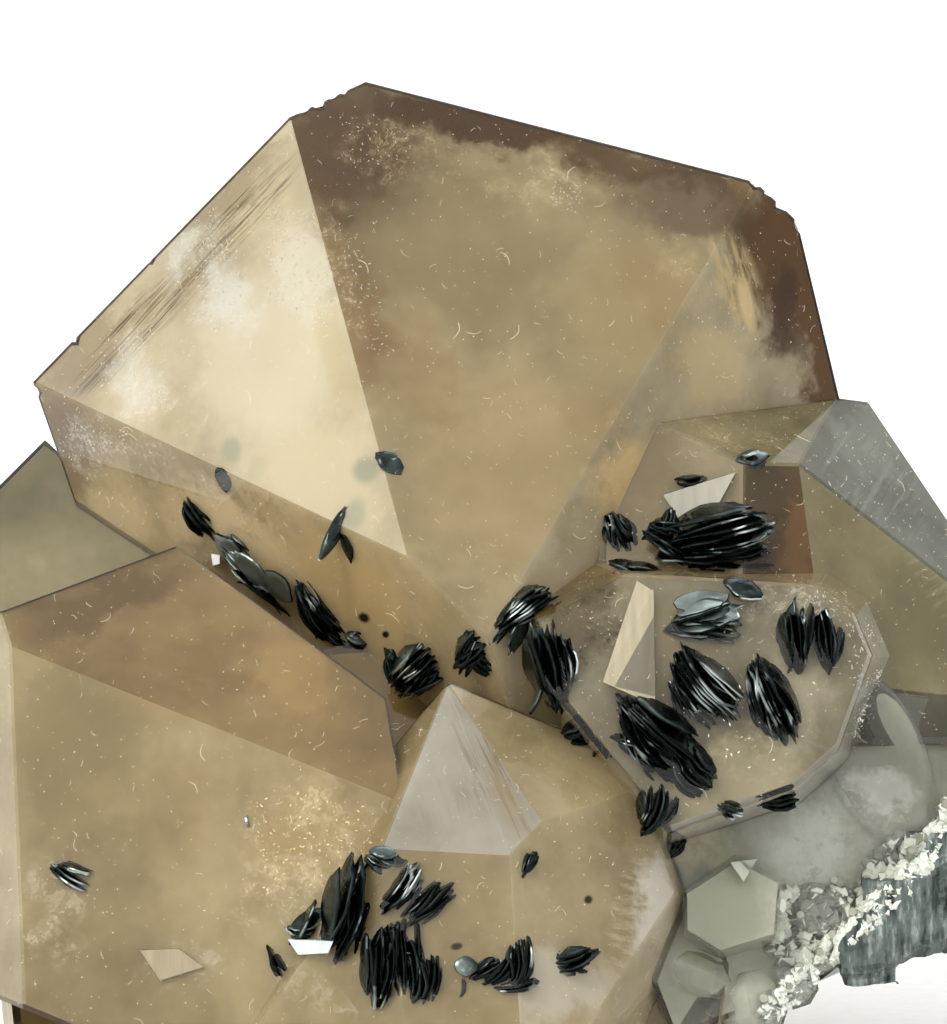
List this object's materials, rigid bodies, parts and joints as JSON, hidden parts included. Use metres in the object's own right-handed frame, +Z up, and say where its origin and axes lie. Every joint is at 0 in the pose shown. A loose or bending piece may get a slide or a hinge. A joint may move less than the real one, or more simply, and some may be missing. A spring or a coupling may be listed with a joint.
{
  "type": "quartz specimen with hematite rosettes",
  "caption": "Cluster of clear smoky quartz crystals with black hematite plate rosettes seated in their faces and a dark metallic rock edge; flat cut base to stand on.",
  "frame": {"origin": "on the flat cut base, under the middle of the bounding box", "axes": "+X to the right and +Y away from the viewer as the picture shows the specimen, +Z up out of the base"},
  "size_m": [0.0692, 0.0534, 0.0613],
  "materials": {
    "smoky_quartz": "clear, polished crystal faces",
    "hematite": "black metallic lustre",
    "metallic_rock": "rough, dull metallic"
  },
  "bodies": {
    "root": {"hematite_blade_inclusion": "hematite", "hematite_centre_edge_inclusion": "hematite", "hematite_left_blade_rosette": "hematite", "hematite_left_end_flake": "hematite", "hematite_left_face_rosette": "hematite", "hematite_left_face_speck": "hematite", "hematite_left_grey_plate_cluster": "hematite", "hematite_left_lens_rosette": "hematite", "hematite_lower_diagonal_rosette": "hematite", "hematite_lower_grey_disc": "hematite", "hematite_lower_grey_flake": "hematite", "hematite_lower_leaf_flake": "hematite", "hematite_lower_left_sliver": "hematite", "hematite_lower_plate_rosette": "hematite", "hematite_lower_right_blades": "hematite", "hematite_lower_right_end_flake": "hematite", "hematite_lower_right_fan": "hematite", "hematite_lower_right_large_fan": "hematite", "hematite_lower_right_sliver": "hematite", "hematite_lower_small_stack": "hematite", "hematite_lower_stacked_rosette": "hematite", "hematite_lower_upright_blades": "hematite", "hematite_middle_curved_rosette": "hematite", "hematite_middle_needle_rosette": "hematite", "hematite_middle_small_rosette": "hematite", "hematite_middle_upright_rosette": "hematite", "hematite_right_diagonal_rosette": "hematite", "hematite_right_double_rosette": "hematite", "hematite_right_long_flake": "hematite", "hematite_right_silver_rosette": "hematite", "hematite_right_striped_flake": "hematite", "hematite_right_textured_flake": "hematite", "hematite_right_upright_lens": "hematite", "hematite_upper_edge_flake": "hematite", "hematite_upper_large_fan": "hematite", "hematite_upper_left_flake_inclusion": "hematite", "hematite_upper_round_rosette": "hematite", "hematite_upper_silver_flake": "hematite", "hematite_upper_thin_blade": "hematite", "metallic_matrix_rock": "metallic_rock", "quartz_cluster": "smoky_quartz"}
  },
  "joints": []
}
